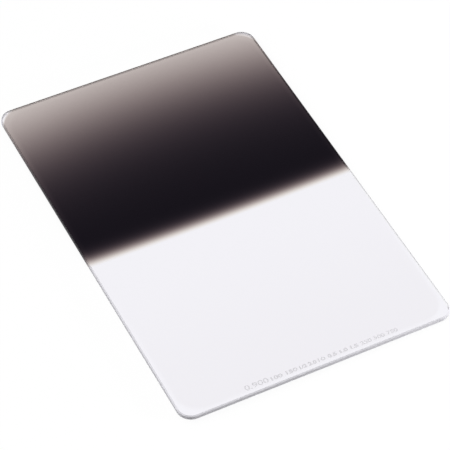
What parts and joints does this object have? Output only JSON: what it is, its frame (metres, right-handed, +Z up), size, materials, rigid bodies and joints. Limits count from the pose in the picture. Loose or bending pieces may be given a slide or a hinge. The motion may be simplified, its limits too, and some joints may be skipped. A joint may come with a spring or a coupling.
{
  "type": "rectangular reverse graduated neutral density filter",
  "caption": "Flat rectangular optical glass plate with rounded corners, clear at one end and coated dark from mid length, fading to the other end, for a slot-in lens filter holder.",
  "frame": {"origin": "middle of the lower face", "axes": "+Z up through the plate's thickness, +Y along its length towards the coated end, +X across its width"},
  "size_m": [0.1, 0.15, 0.002],
  "materials": {
    "coated_glass": "polished on both faces, with a graduated neutral density coating and a low-reflection coating; edges ground satin"
  },
  "bodies": {
    "root": {"filter_plate": "coated_glass"}
  },
  "joints": []
}
